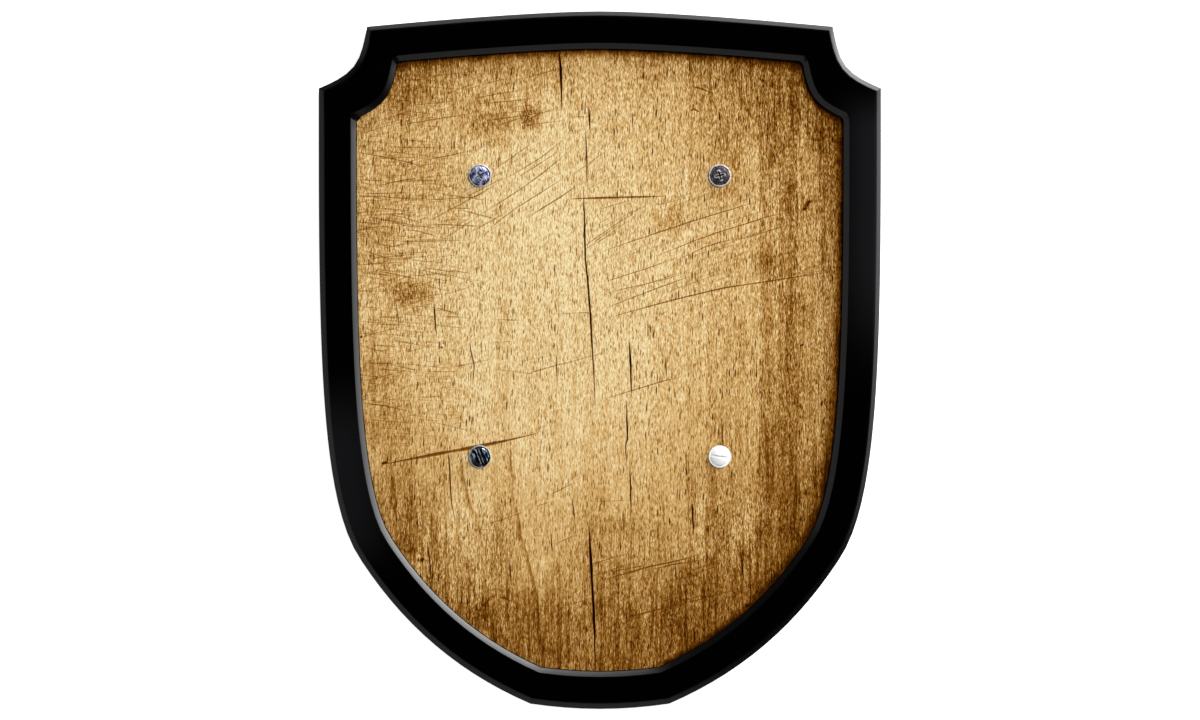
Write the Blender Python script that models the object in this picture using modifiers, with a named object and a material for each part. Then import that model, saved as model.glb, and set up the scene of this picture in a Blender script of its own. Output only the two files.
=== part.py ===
"""A heraldic shield that lies on its back with its face up.

A black lacquered shield with a raised, bevelled border carries a worn wood panel,
which four low round-head screws hold to the black back plate.
Metres, +Z up, +Y towards the shield's top edge; the origin is under its middle.
"""
import math

import bmesh
import bpy
from mathutils import Vector
from mathutils.geometry import intersect_line_line_2d

# Overall size
SHIELD_WIDTH = 0.300
SHIELD_HEIGHT = 0.3722

# Thicknesses, from the back up
BACK_THICKNESS = 0.008
PANEL_THICKNESS = 0.010
PANEL_SINK = 0.004  # the panel's face lies this far below the border's top

# Border
BORDER_WIDTH = 0.020
NOTCH_WIDENING = 0.0039  # the border is this much wider across a notch
NOTCH_DIAGONAL = -133.6  # degrees from +X, the way across the right notch into the field
BORDER_BEVEL = 0.003
BACK_BEVEL = 0.001

# Corners of the outline, each from the nearest edge of the overall size
TOP_CORNER_INSET = 0.0258
TOP_CORNER_DROP = 0.0082
SHOULDER_DROP = 0.0411
KNEE_INSET = 0.0218
KNEE_RISE = 0.0805
FOOT_HALF_WIDTH = 0.037
FOOT_CORNER_RISE = 0.0028

# Directions of the outline's right side, in degrees
TOP_EDGE_FALL = 5.4  # the top edge's slope beside its corner
NOTCH_LEAN = 11.2  # off upright, where the notch leaves the top corner
SHOULDER_FALL = 22.4  # off level, where the notch reaches the shoulder
KNEE_LEAN = 33.1  # off upright, where the flank passes the knee
FOOT_CORNER_FALL = 23.2  # off level, where the flank reaches the foot's corner
FOOT_EDGE_FALL = 8.5  # off level, where the foot's edge leaves that corner

# How long each curve holds the direction of its two ends, as shares of its chord
TOP_PULLS = (0.19, 0.48)
NOTCH_PULLS = (0.47, 0.54)
FLANK_PULLS = (0.516, 0.160)
LOWER_FLANK_PULLS = (0.262, 0.430)
FOOT_PULLS = (0.33, 0.33)

# Screws
SCREW_SPACING_X = 0.128
SCREW_SPACING_Y = 0.150
SCREW_ROW_DROP = 0.0876  # from the top of the shield to the upper row
HEAD_DIAMETER = 0.012
HEAD_HEIGHT = 0.0022
HEAD_SIDE = 0.0006
SHANK_DIAMETER = 0.006
SHANK_POINT = 0.003
WOOD_BELOW_SCREW = 0.002
CROSS_LENGTH = 0.0056
CROSS_WIDTH = 0.0012
CROSS_DEPTH = 0.0019
SLOT_WIDTH = 0.0014
SLOT_DEPTH = 0.0011

# Fits
GAP = 0.0003  # between pieces that touch

# Heights and places that follow from the sizes above
PANEL_BOTTOM = BACK_THICKNESS + GAP
PANEL_FACE = PANEL_BOTTOM + PANEL_THICKNESS
BORDER_TOP = PANEL_FACE + PANEL_SINK
SCREW_SEAT = PANEL_FACE + GAP
HALF_WIDTH = SHIELD_WIDTH / 2
HALF_HEIGHT = SHIELD_HEIGHT / 2

# Fineness of the curved surfaces
CURVE_SAMPLES = 64
TOP_STEPS = 10
NOTCH_STEPS = 8
SIDE_STEPS = 44
FOOT_STEPS = 4
SHARP_ANGLE = math.radians(25)
WELD = 0.00001
SCREW_SIDES = 32
DOME_STEPS = 6

# Materials: colour, metallic, roughness
FINISHES = {
    "black_lacquer": ((0.004, 0.004, 0.005), 0.0, 0.25),
    "worn_beech": ((0.60, 0.40, 0.17), 0.0, 0.60),
    "bluish_zinc": ((0.36, 0.38, 0.52), 1.0, 0.30),
    "gunmetal": ((0.10, 0.09, 0.10), 1.0, 0.40),
    "blued_steel": ((0.02, 0.03, 0.05), 1.0, 0.25),
    "bright_nickel": ((0.90, 0.90, 0.90), 1.0, 0.20),
}


def clear_scene():
    """Remove every object that the file opened with."""
    for thing in list(bpy.data.objects):
        bpy.data.objects.remove(thing, do_unlink=True)


def new_collection(name):
    """A collection in the scene."""
    group = bpy.data.collections.new(name)
    bpy.context.scene.collection.children.link(group)
    return group


def finish_material(name):
    """A Principled material with the named finish."""
    colour, metallic, roughness = FINISHES[name]
    material = bpy.data.materials.new(name)
    material.use_nodes = True
    shader = material.node_tree.nodes["Principled BSDF"]
    shader.inputs["Base Color"].default_value = (*colour, 1.0)
    shader.inputs["Metallic"].default_value = metallic
    shader.inputs["Roughness"].default_value = roughness
    return material


def direction(degrees):
    """A flat unit vector, turned this far from +X."""
    angle = math.radians(degrees)
    return Vector((math.cos(angle), math.sin(angle)))


def inset_curve(start, heading, end, arrival, pulls, inset):
    """Points of a smooth stretch from start to end, moved inward by the inset.

    The stretch leaves and arrives at the given angles; a pull is a handle's share of the chord.
    """
    chord = (end - start).length
    first = start + direction(heading) * chord * pulls[0]
    second = end - direction(arrival) * chord * pulls[1]
    points = []
    for step in range(CURVE_SAMPLES + 1):
        t = step / CURVE_SAMPLES
        s = 1 - t
        place = s**3 * start + 3 * s * s * t * first + 3 * s * t * t * second + t**3 * end
        along = s * s * (first - start) + 2 * s * t * (second - first) + t * t * (end - second)
        along.normalize()
        points.append(place + inset * Vector((along.y, -along.x)))
    return points


def lengthened(points, extra):
    """The same stretch, drawn out straight at both ends."""
    first = points[0] + (points[0] - points[1]).normalized() * extra
    last = points[-1] + (points[-1] - points[-2]).normalized() * extra
    return [first] + points + [last]


def trim_pair(before, after):
    """Cut two neighbouring stretches off at the point where they cross."""
    for back in range(len(before) - 1, 0, -1):
        for ahead in range(1, len(after)):
            crossing = intersect_line_line_2d(
                before[back - 1], before[back], after[ahead - 1], after[ahead])
            if crossing:
                return before[:back] + [crossing], [crossing] + after[ahead:]
    return before, after


def evenly_spaced(points, steps):
    """The same stretch with its points at even distances."""
    reach = [0.0]
    for first, second in zip(points, points[1:]):
        reach.append(reach[-1] + (second - first).length)
    spaced = [points[0]]
    place = 1
    for step in range(1, steps):
        target = reach[-1] * step / steps
        while reach[place] < target:
            place += 1
        share = (target - reach[place - 1]) / (reach[place] - reach[place - 1])
        spaced.append(points[place - 1].lerp(points[place], share))
    return spaced + [points[-1]]


def shield_outline(inset, around_field=False):
    """The shield's outline, clockwise from the top's middle, moved inward by the inset.

    Around the field the notch keeps the curve of the outer notch, moved inward on its diagonal.
    """
    top = Vector((0, HALF_HEIGHT))
    top_corner = Vector((HALF_WIDTH - TOP_CORNER_INSET, HALF_HEIGHT - TOP_CORNER_DROP))
    shoulder = Vector((HALF_WIDTH, HALF_HEIGHT - SHOULDER_DROP))
    knee = Vector((HALF_WIDTH - KNEE_INSET, KNEE_RISE - HALF_HEIGHT))
    foot_corner = Vector((FOOT_HALF_WIDTH, FOOT_CORNER_RISE - HALF_HEIGHT))
    foot = Vector((0, -HALF_HEIGHT))

    knee_way = -90 - KNEE_LEAN
    top_edge = inset_curve(top, 0, top_corner, -TOP_EDGE_FALL, TOP_PULLS, inset)
    notch_inset = inset - BORDER_WIDTH if around_field else inset
    notch = inset_curve(
        top_corner, NOTCH_LEAN - 90, shoulder, -SHOULDER_FALL, NOTCH_PULLS, notch_inset)
    if around_field:
        shift = direction(NOTCH_DIAGONAL) * (BORDER_WIDTH + NOTCH_WIDENING)
        notch = lengthened([point + shift for point in notch], BORDER_WIDTH)
    flank = inset_curve(shoulder, -90, knee, knee_way, FLANK_PULLS, inset)
    lower_flank = inset_curve(
        knee, knee_way, foot_corner, FOOT_CORNER_FALL - 180, LOWER_FLANK_PULLS, inset)
    side = flank + lower_flank[1:]
    foot_edge = inset_curve(foot_corner, FOOT_EDGE_FALL - 180, foot, -180, FOOT_PULLS, inset)

    top_edge, notch = trim_pair(top_edge, notch)
    notch, side = trim_pair(notch, side)
    side, foot_edge = trim_pair(side, foot_edge)

    half = evenly_spaced(top_edge, TOP_STEPS)[:-1]
    half += evenly_spaced(notch, NOTCH_STEPS)[:-1]
    half += evenly_spaced(side, SIDE_STEPS)[:-1]
    half += evenly_spaced(foot_edge, FOOT_STEPS)[:-1]
    half.append(foot_edge[-1])
    other_half = [Vector((-point.x, point.y)) for point in reversed(half[1:-1])]
    return half + other_half


def add_object(name, mesh, collection, finish=None):
    """An object of the mesh, in the collection, with its finish."""
    thing = bpy.data.objects.new(name, mesh)
    collection.objects.link(thing)
    if finish:
        mesh.materials.append(finish_material(finish))
    return thing


def close_mesh(shape, mesh):
    """Write the shape to the mesh with its faces turned outward and its curves shaded smooth."""
    bmesh.ops.recalc_face_normals(shape, faces=shape.faces)
    shape.to_mesh(mesh)
    shape.free()
    mesh.shade_smooth()
    mesh.set_sharp_from_angle(angle=SHARP_ANGLE)


def lofted_shield(name, sections):
    """A closed mesh through sections of the outline, from the back up.

    A section is an inset, whether it runs around the field, and a height.
    """
    shape = bmesh.new()
    rings = []
    for inset, around_field, height in sections:
        outline = shield_outline(inset, around_field)
        rings.append([shape.verts.new((*point, height)) for point in outline])
    for lower, upper in zip(rings, rings[1:]):
        for index in range(len(lower)):
            before = index - 1
            shape.faces.new((lower[before], lower[index], upper[index], upper[before]))
    caps = [shape.faces.new(rings[0]), shape.faces.new(rings[-1])]
    bmesh.ops.triangulate(shape, faces=caps)
    mesh = bpy.data.meshes.new(name)
    close_mesh(shape, mesh)
    return mesh


def field_plate(name, inset, thickness):
    """A mesh of the field's outline as a flat plate, centred on its thickness."""
    curve = bpy.data.curves.new(name + "_outline", "CURVE")
    curve.dimensions = "2D"
    curve.fill_mode = "BOTH"
    curve.extrude = thickness / 2
    outline = shield_outline(inset, around_field=True)
    spline = curve.splines.new("POLY")
    spline.points.add(len(outline) - 1)
    spline.use_cyclic_u = True
    for point, place in zip(spline.points, outline):
        point.co = (*place, 0, 1)
    guide = bpy.data.objects.new(name + "_outline", curve)
    bpy.context.scene.collection.objects.link(guide)
    evaluated = guide.evaluated_get(bpy.context.evaluated_depsgraph_get())
    mesh = bpy.data.meshes.new_from_object(evaluated)
    bpy.data.objects.remove(guide, do_unlink=True)
    bpy.data.curves.remove(curve)
    shape = bmesh.new()
    shape.from_mesh(mesh)
    bmesh.ops.remove_doubles(shape, verts=shape.verts, dist=WELD)
    close_mesh(shape, mesh)
    return mesh


def cut_out(body, cutter):
    """Take the cutter's shape out of the body."""
    boolean = body.modifiers.new(cutter.name, "BOOLEAN")
    boolean.operation = "DIFFERENCE"
    boolean.solver = "EXACT"
    boolean.object = cutter


def hide_cutter(cutter):
    """Show a cutter as wire only."""
    cutter.hide_render = True
    cutter.display_type = "WIRE"
    return cutter


def black_frame(parts):
    """The black shield: a back plate and its raised border in one."""
    sections = [
        (BACK_BEVEL, False, 0),
        (0, False, BACK_BEVEL),
        (0, False, BORDER_TOP - BORDER_BEVEL),
        (BORDER_BEVEL, False, BORDER_TOP),
        (BORDER_WIDTH - BORDER_BEVEL, True, BORDER_TOP),
        (BORDER_WIDTH, True, BORDER_TOP - BORDER_BEVEL),
        (BORDER_WIDTH, True, BACK_THICKNESS),
    ]
    return add_object("black_frame", lofted_shield("black_frame", sections), parts, "black_lacquer")


def wood_panel(parts):
    """The worn wood panel inside the border."""
    mesh = field_plate("wood_panel", BORDER_WIDTH + GAP, PANEL_THICKNESS)
    panel = add_object("wood_panel", mesh, parts, "worn_beech")
    panel.location.z = PANEL_BOTTOM + PANEL_THICKNESS / 2
    return panel


def screw_profile():
    """Half the outline of a screw, from the top of its head down to its point."""
    head_radius = HEAD_DIAMETER / 2
    shank_radius = SHANK_DIAMETER / 2
    dome = HEAD_HEIGHT - HEAD_SIDE
    profile = []
    for step in range(DOME_STEPS + 1):
        angle = math.pi / 2 * step / DOME_STEPS
        profile.append((head_radius * math.sin(angle), HEAD_SIDE + dome * math.cos(angle)))
    point_height = WOOD_BELOW_SCREW - SCREW_SEAT
    profile += [
        (head_radius, 0),
        (shank_radius, 0),
        (shank_radius, point_height + SHANK_POINT),
        (0, point_height),
    ]
    return profile


def turned_screw(name, place, finish, parts):
    """A low round-head screw, its head's underside at the given place."""
    profile = screw_profile()
    mesh = bpy.data.meshes.new(name)
    edges = [(index, index + 1) for index in range(len(profile) - 1)]
    mesh.from_pydata([(radius, 0, height) for radius, height in profile], edges, [])
    screw = add_object(name, mesh, parts, finish)
    screw.location = place
    turn = screw.modifiers.new("turn", "SCREW")
    turn.steps = SCREW_SIDES
    turn.render_steps = SCREW_SIDES
    turn.use_merge_vertices = True
    turn.merge_threshold = WELD
    turn.use_smooth_shade = True
    return screw


def recess_cutter(name, place, size, depth, turn, cutters):
    """A box that cuts one straight recess of this size and depth into a screw's head."""
    shape = bmesh.new()
    bmesh.ops.create_cube(shape, size=1)
    bmesh.ops.scale(shape, verts=shape.verts, vec=(size[0], size[1], 2 * depth))
    mesh = bpy.data.meshes.new(name)
    shape.to_mesh(mesh)
    shape.free()
    cutter = add_object(name, mesh, cutters)
    cutter.location = place + Vector((0, 0, HEAD_HEIGHT))
    cutter.rotation_euler.z = math.radians(turn)
    return hide_cutter(cutter)


def hole_cutter(name, place, cutters):
    """A cylinder for one screw's hole, through the panel and into the back plate."""
    bottom = WOOD_BELOW_SCREW - GAP
    top = SCREW_SEAT + GAP
    shape = bmesh.new()
    radius = SHANK_DIAMETER / 2 + GAP
    bmesh.ops.create_cone(
        shape, cap_ends=True, segments=SCREW_SIDES, radius1=radius, radius2=radius, depth=top - bottom)
    mesh = bpy.data.meshes.new(name)
    shape.to_mesh(mesh)
    shape.free()
    cutter = add_object(name, mesh, cutters)
    cutter.location = (place.x, place.y, (top + bottom) / 2)
    return hide_cutter(cutter)


def screw_set(parts, cutters, drilled):
    """The four screws with their recesses, and their holes in the drilled pieces."""
    middle_y = HALF_HEIGHT - SCREW_ROW_DROP - SCREW_SPACING_Y / 2
    kinds = [
        ("screw_top_left", -1, 1, "bluish_zinc", "cross", 30),
        ("screw_top_right", 1, 1, "gunmetal", "cross", 15),
        ("screw_bottom_left", -1, -1, "blued_steel", "slot", -68),
        ("screw_bottom_right", 1, -1, "bright_nickel", "slot", -8),
    ]
    for name, side, row, finish, recess, turn in kinds:
        x = side * SCREW_SPACING_X / 2
        y = middle_y + row * SCREW_SPACING_Y / 2
        place = Vector((x, y, SCREW_SEAT))
        screw = turned_screw(name, place, finish, parts)
        if recess == "cross":
            for arm, extra in (("a", 0), ("b", 90)):
                size = (CROSS_LENGTH, CROSS_WIDTH)
                blade = recess_cutter(
                    name + "_cross_" + arm, place, size, CROSS_DEPTH, turn + extra, cutters)
                cut_out(screw, blade)
        else:
            size = (HEAD_DIAMETER + 2 * GAP, SLOT_WIDTH)
            blade = recess_cutter(name + "_slot", place, size, SLOT_DEPTH, turn, cutters)
            cut_out(screw, blade)
        hole = hole_cutter(name + "_hole", place, cutters)
        for piece in drilled:
            cut_out(piece, hole)


def main():
    """Build the whole shield."""
    clear_scene()
    parts = new_collection("heraldic_shield")
    cutters = new_collection("cutters")
    drilled = [black_frame(parts), wood_panel(parts)]
    screw_set(parts, cutters, drilled)


main()
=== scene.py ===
"""Looks for the heraldic shield: a black lacquered shield with a worn beech field and four screws.

The shield lies on its back. +Y points to its top edge and +Z out of its face, in metres.
"""
import math
import random

import bmesh
import bpy
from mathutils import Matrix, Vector


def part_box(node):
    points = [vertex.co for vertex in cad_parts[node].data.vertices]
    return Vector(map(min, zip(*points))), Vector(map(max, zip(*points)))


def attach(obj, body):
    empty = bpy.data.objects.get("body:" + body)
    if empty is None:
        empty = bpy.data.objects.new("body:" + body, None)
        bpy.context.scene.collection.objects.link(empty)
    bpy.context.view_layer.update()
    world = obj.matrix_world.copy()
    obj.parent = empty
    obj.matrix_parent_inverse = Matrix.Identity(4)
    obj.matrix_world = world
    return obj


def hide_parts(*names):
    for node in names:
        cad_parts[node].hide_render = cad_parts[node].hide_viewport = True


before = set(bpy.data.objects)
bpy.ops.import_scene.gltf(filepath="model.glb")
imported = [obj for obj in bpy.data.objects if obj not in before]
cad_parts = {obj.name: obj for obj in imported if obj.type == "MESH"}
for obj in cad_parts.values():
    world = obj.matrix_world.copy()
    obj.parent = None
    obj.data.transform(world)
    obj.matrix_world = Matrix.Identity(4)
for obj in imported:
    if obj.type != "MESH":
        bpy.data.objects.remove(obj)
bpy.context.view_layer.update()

MM = 0.001

# The photograph's scale: one of its pixels in metres, and the pixel at the shield's middle
PIXEL = 0.53286 * MM
MIDDLE_PIXEL = (599.83, 360.12)
PHOTO_WIDTH = 1200

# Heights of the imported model
FIELD_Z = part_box("wood_panel")[1].z
PANEL_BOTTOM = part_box("wood_panel")[0].z
BORDER_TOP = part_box("black_frame")[1].z
BORDER_BEVEL = 3 * MM
BACK_BEVEL = 1 * MM
BACK_THICKNESS = 8 * MM
HEAD_HEIGHT = 2.2 * MM
SCREW_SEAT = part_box("screw_top_left")[1].z - HEAD_HEIGHT
SCREW_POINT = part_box("screw_top_left")[0].z

# How the black frame is eased: the lift of its bevels' feet, then the width of each rounding
INNER_BEVEL_LIFT = 0.6 * MM
OUTER_BEVEL_LIFT = 0.8 * MM
INNER_TOP_ROUNDING = 0.45 * MM
OUTER_TOP_ROUNDING = 1.0 * MM
BEVEL_FOOT_ROUNDING = 0.15 * MM
BACK_ROUNDING = 0.3 * MM
NOTCH_ROUNDING = 2.0 * MM

# Cracks along the grain: widest opening in millimetres, then the pixels that each passes
CRACKS = {
    "top crack": (1.05, (559, 49), (560.6, 73), (561, 88), (561.7, 110)),
    "upper middle crack": (0.8, (588.8, 106), (590.1, 132)),
    "short crack under it": (0.6, (585.4, 130), (586.3, 146), (587, 166), (586.6, 184)),
    "middle crack": (
        0.8, (583.5, 186), (584.2, 220), (585.4, 259), (588.5, 290), (591.2, 331), (592.9, 360),
        (595.4, 406)),
    "foot crack": (
        1.2, (588.8, 526), (590.4, 558), (592.4, 590), (593.4, 611), (594.6, 636), (595.4, 672)),
    "right middle crack": (0.8, (629, 339), (630.7, 366), (631.5, 398)),
    "its lower half": (0.65, (626.5, 401), (627.4, 439), (625.7, 446), (626.5, 467)),
    "its end": (0.6, (630, 466), (631, 516)),
    "right short crack": (0.75, (665.5, 357), (666.3, 375)),
    "next short crack": (0.6, (668.8, 386), (669.7, 393)),
    "left short crack": (0.7, (433.2, 303), (436.2, 337)),
    "left thread": (0.5, (396, 303), (399, 330)),
    "middle left thread": (0.5, (469, 342), (474, 366), (472, 386)),
    "middle thread": (0.5, (556, 357), (557, 383)),
    "left lower crack": (0.7, (447, 447), (449.5, 470), (451, 501), (454.4, 520)),
    "lower middle thread": (0.5, (572, 497), (575, 522)),
    "its neighbour": (0.5, (551, 532), (552, 557)),
    "thread over the foot": (0.5, (509, 560), (511, 586)),
    "lower left crack": (0.65, (427, 542), (429, 560), (431, 585)),
    "lower right thread": (0.5, (623.6, 510), (624, 535)),
    "right lower crack": (0.8, (692, 500), (693.7, 535)),
    "over the right lower crack": (0.6, (695, 492), (696, 500)),
    "far right crack": (0.75, (741, 552), (744, 582)),
    "far right end": (0.6, (750, 583), (751.5, 595)),
    "foot right crack": (0.65, (675, 565), (676.5, 584)),
    "last right crack": (0.65, (694, 625), (695, 650)),
    "crack over the white screw": (0.6, (722, 418), (722.5, 447)),
    "right nick along the grain": (0.6, (686, 465), (687, 478)),
    "spot along the grain": (0.8, (669.5, 518), (670, 526)),
    "thread right of the middle": (0.5, (632, 112), (633, 128)),
    "thread by the dark screw": (0.5, (683, 165), (683.5, 178)),
    "thread on the right": (0.5, (731, 300), (732, 310)),
}

# Scratches across the grain: widest opening in millimetres, then the pixels that each passes
SCRATCHES = {
    "left edge cut": (0.95, (355, 215), (373, 213.8), (418, 211.5)),
    "its faint end": (0.4, (375, 210), (405, 218), (435, 226)),
    "short middle cut": (0.85, (567, 198.9), (600, 197.8), (640, 196.8), (667, 195.6)),
    "long left cut": (1.25, (382, 464.8), (423, 456.9), (469.4, 448.2), (505, 441), (536, 434)),
    "upper left line": (0.45, (355, 152), (380, 156), (407, 162), (428, 168)),
    "rise on the left": (0.45, (371, 187), (402, 180), (424, 177)),
    "level left line": (0.45, (355, 195), (400, 198), (433, 200)),
    "level line by the zinc screw": (0.4, (422, 200), (475, 197), (507.5, 176)),
    "fall on the left": (0.4, (355, 234), (380, 238), (406, 241)),
    "rise to the zinc screw": (0.45, (422, 160), (450, 155), (476, 149)),
    "upper oblique": (0.4, (410, 131), (440, 110)),
    "line through the old dirt": (0.45, (482, 121), (525, 115), (562, 109)),
    "short oblique in the dirt": (0.4, (515, 126), (540, 113), (558, 107)),
    "line over the dirt": (0.4, (470, 99), (500, 93), (527, 89)),
    "short line at the top": (0.4, (465, 82), (490, 71)),
    "level line by the top crack": (0.35, (562, 117), (598, 116)),
    "top right oblique": (0.45, (600, 85), (619, 75)),
    "long oblique": (0.5, (475, 239), (510, 216), (560, 185), (583, 169)),
    "second oblique": (0.45, (481, 235), (514, 209), (572, 172.7)),
    "third oblique": (0.5, (527, 217.5), (560, 197), (583, 181)),
    "fourth oblique": (0.45, (477, 217), (525, 186), (552, 165), (581, 142)),
    "fifth oblique": (0.4, (500, 182), (540, 158), (575, 130)),
    "oblique by the middle": (0.55, (600, 157), (616, 144), (638, 124.6)),
    "upper right line": (0.55, (600, 252), (633, 240.7), (691, 221.5), (716, 214), (778, 195)),
    "second right line": (0.5, (650, 259), (693, 241), (716, 233), (766, 217), (809, 207)),
    "third right line": (0.45, (672, 262), (705, 247), (720, 242), (752, 236)),
    "fourth right line": (0.45, (600, 283), (645, 269), (685, 255)),
    "fifth right line": (0.4, (606, 293), (650, 283), (694.5, 271)),
    "sixth right line": (0.45, (600, 310), (645, 293), (703, 271)),
    "long right line": (
        0.6, (600, 320.5), (636.5, 309.8), (689.6, 295.7), (726, 287.4), (765.8, 281.6), (843, 270)),
    "faint middle line": (0.48, (605, 399), (630, 391), (660, 382), (688, 375)),
    "edge nick on the right": (0.5, (797, 309), (812, 304)),
    "second edge nick": (0.4, (785.7, 384.4), (807.3, 381)),
    "left line below": (0.45, (359, 366), (385, 371), (411, 378)),
    "lower left line": (0.45, (360, 402.5), (385, 406), (412, 412)),
    "its rise": (0.45, (360, 401), (372, 397)),
    "line from the upper left": (0.28, (375, 260), (425, 271), (475, 280), (492, 282)),
    "upper right nick": (0.7, (692, 86), (703, 89), (714, 92.5)),
    "hooked right nick": (0.95, (690, 110.5), (694, 109), (700, 112)),
    "hooked nick": (0.95, (499, 597.7), (505, 599), (511, 601.5)),
    "lower oblique": (0.4, (550, 495), (562, 489), (575, 482)),
    "faint lower line": (0.35, (484, 525), (505, 519), (527, 511)),
    "foot line": (0.6, (600, 581.5), (650, 567), (682, 560), (705, 553.7)),
    "its twin": (0.5, (647, 571), (672, 565), (712, 558.7)),
    "middle foot line": (0.4, (660, 590), (677, 585)),
    "long foot line": (0.5, (600, 625), (650, 612), (695, 601), (735, 590), (776, 579)),
    "left foot line": (0.4, (560, 607), (585, 601), (600, 595)),
}

# Families of hairlines: middle pixel, half spread in pixels, slope and its spread in degrees, least and
# greatest length in millimetres, count
HAIRLINES = {
    "over the upper left": ((475, 92), (95, 34), 12, 8, (14, 44), 24),
    "oblique in the upper middle": ((540, 190), (85, 52), 31, 5, (16, 46), 26),
    "level on the left": ((408, 205), (50, 60), 2, 9, (12, 34), 58),
    "falling on the left": ((425, 235), (60, 60), -12, 6, (14, 36), 24),
    "mixed on the left": ((410, 345), (52, 85), 2, 18, (10, 30), 44),
    "left of the middle": ((520, 330), (70, 60), 6, 14, (10, 30), 12),
    "rising on the right": ((715, 238), (105, 46), 18, 4, (18, 56), 26),
    "oblique in the middle": ((650, 140), (60, 60), 33, 6, (10, 26), 6),
    "rising over the foot": ((690, 590), (85, 36), 15, 4, (12, 40), 16),
    "mixed below the middle": ((560, 560), (80, 60), 17, 18, (8, 24), 14),
}
HAIRLINE_WIDTH = (0.45, 1.0)

# How much wider than measured the scratches and cracks are cut, because their edges are pale
SCRATCH_WIDENING = 1.7
CRACK_WIDENING = 1.5

# Depth of a groove over half its width
HAIRLINE_STEEPNESS = 0.13
SCRATCH_STEEPNESS = 0.28
CRACK_STEEPNESS = 1.4

# How far apart the places along a groove are, and how far each may tremble aside
SCRATCH_STEP = 9 * MM
CRACK_STEP = 5 * MM
GROOVE_TREMOR = 0.12 * MM

# Smudges of old dirt: pixel at the middle, half width and half height in pixels, strength
SMUDGES = {
    "beside the top crack": ((528, 116), (9, 15), 0.85),
    "under the top edge": ((490, 121), (20, 20), 0.65),
    "top left corner": ((410, 92), (26, 28), 0.12),
    "top middle": ((520, 70), (50, 12), 0.30),
    "left edge, high": ((372, 235), (20, 30), 0.35),
    "upper left": ((430, 175), (52, 34), 0.16),
    "left of the middle": ((408, 291), (20, 12), 0.70),
    "far left": ((376, 375), (20, 14), 0.40),
    "left flank": ((378, 425), (22, 26), 0.30),
    "right of the middle": ((671, 221), (15, 15), 0.50),
    "under the dark screw": ((718, 192), (10, 8), 0.35),
    "far right": ((768, 262), (14, 12), 0.65),
    "below it": ((797, 312), (11, 24), 0.40),
    "upper right streak": ((769, 103), (13, 30), 0.10),
    "top right corner": ((820, 134), (12, 20), 0.60),
    "right edge, high": ((826, 180), (14, 34), 0.35),
    "right flank": ((794, 410), (10, 60), 0.40),
    "right flank, low": ((766, 500), (12, 40), 0.12),
    "lower left flank": ((407, 547), (12, 12), 0.60),
    "over the foot left": ((486, 614), (14, 15), 0.62),
    "foot middle": ((527, 612), (16, 20), 0.50),
    "foot left end": ((520, 655), (36, 16), 0.35),
    "foot right": ((675, 622), (17, 28), 0.70),
    "over the foot right": ((688, 577), (9, 14), 0.75),
    "foot far right": ((717, 603), (12, 12), 0.42),
    "under the middle": ((617, 525), (14, 8), 0.40),
    "below the middle": ((585, 515), (20, 40), 0.22),
    "foot end": ((620, 655), (50, 14), 0.30),
}

# Small dark spots in the wood: pixel, half width and half height in pixels, turn in degrees
SPOTS = {
    "knot": ((807.5, 204), 2.6, 5.2, -28),
    "knot's foot": ((805, 208.5), 3.0, 1.6, 15),
    "right spot": ((802.5, 345), 1.7, 1.2, 20),
    "foot spot": ((747.5, 606), 2.2, 2.4, 0),
    "left spot": ((422, 560), 1.9, 2.4, -35),
    "upper left spot": ((360.6, 337), 1.5, 1.6, 0),
    "middle left spot": ((441.5, 347.6), 1.3, 1.3, 0),
    "lower left end": ((384, 463), 3.4, 1.4, 8),
    "bottom spot": ((505.5, 652), 1.2, 3.4, 10),
}

# Pale rubbed marks: pixel at the middle, half length and half width in pixels, turn in degrees, strength
RUBS = {
    "pale scratch over the foot": ((470.5, 575), 17, 1.6, 63, 0.22),
    "second pale scratch": ((512.5, 604), 14, 1.7, 56, 0.26),
    "third pale scratch": ((494, 561), 9, 1.2, 52, 0.16),
    "pale nick on the right": ((760, 181), 12, 1.0, 8, 0.20),
    "upper left streak": ((368, 165), 34, 4.0, 99, 0.12),
    "second upper left streak": ((377, 145), 30, 2.4, 95, 0.10),
    "pale patch on the right": ((687, 234), 7, 3.0, 30, 0.20),
    "pale patch by the middle": ((661, 208), 6, 5.0, 0, 0.14),
    "pale line down the right": ((703.5, 330), 110, 2.4, 90, 0.10),
    "pale upper right": ((775, 82), 46, 26, 0, 0.20),
    "pale by the right crack": ((704, 532), 50, 17, 90, 0.20),
    "pale lower right": ((752, 540), 60, 42, 60, 0.24),
    "pale lower left": ((455, 555), 92, 58, 62, 0.23),
}

# Brown growth lines in the wood: width in pixels, strength, then the pixels that each passes
GROWTH_LINES = {
    "middle growth line": (
        2.0, 0.44, (510, 440), (511, 468), (515, 502), (521, 535), (529, 565), (536, 587), (539.5, 620),
        (543, 668)),
    "left growth line": (2.4, 0.40, (461, 450), (465, 482), (475, 515), (482, 547), (486, 590), (488, 620)),
    "far left growth line": (1.8, 0.34, (391, 440), (393, 470), (395.5, 500), (397, 540)),
    "lower left growth line": (2.2, 0.30, (409, 470), (415, 515), (422, 547), (430, 585)),
    "upper left growth line": (1.6, 0.18, (373.5, 250), (374, 330), (374.5, 430)),
}

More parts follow.
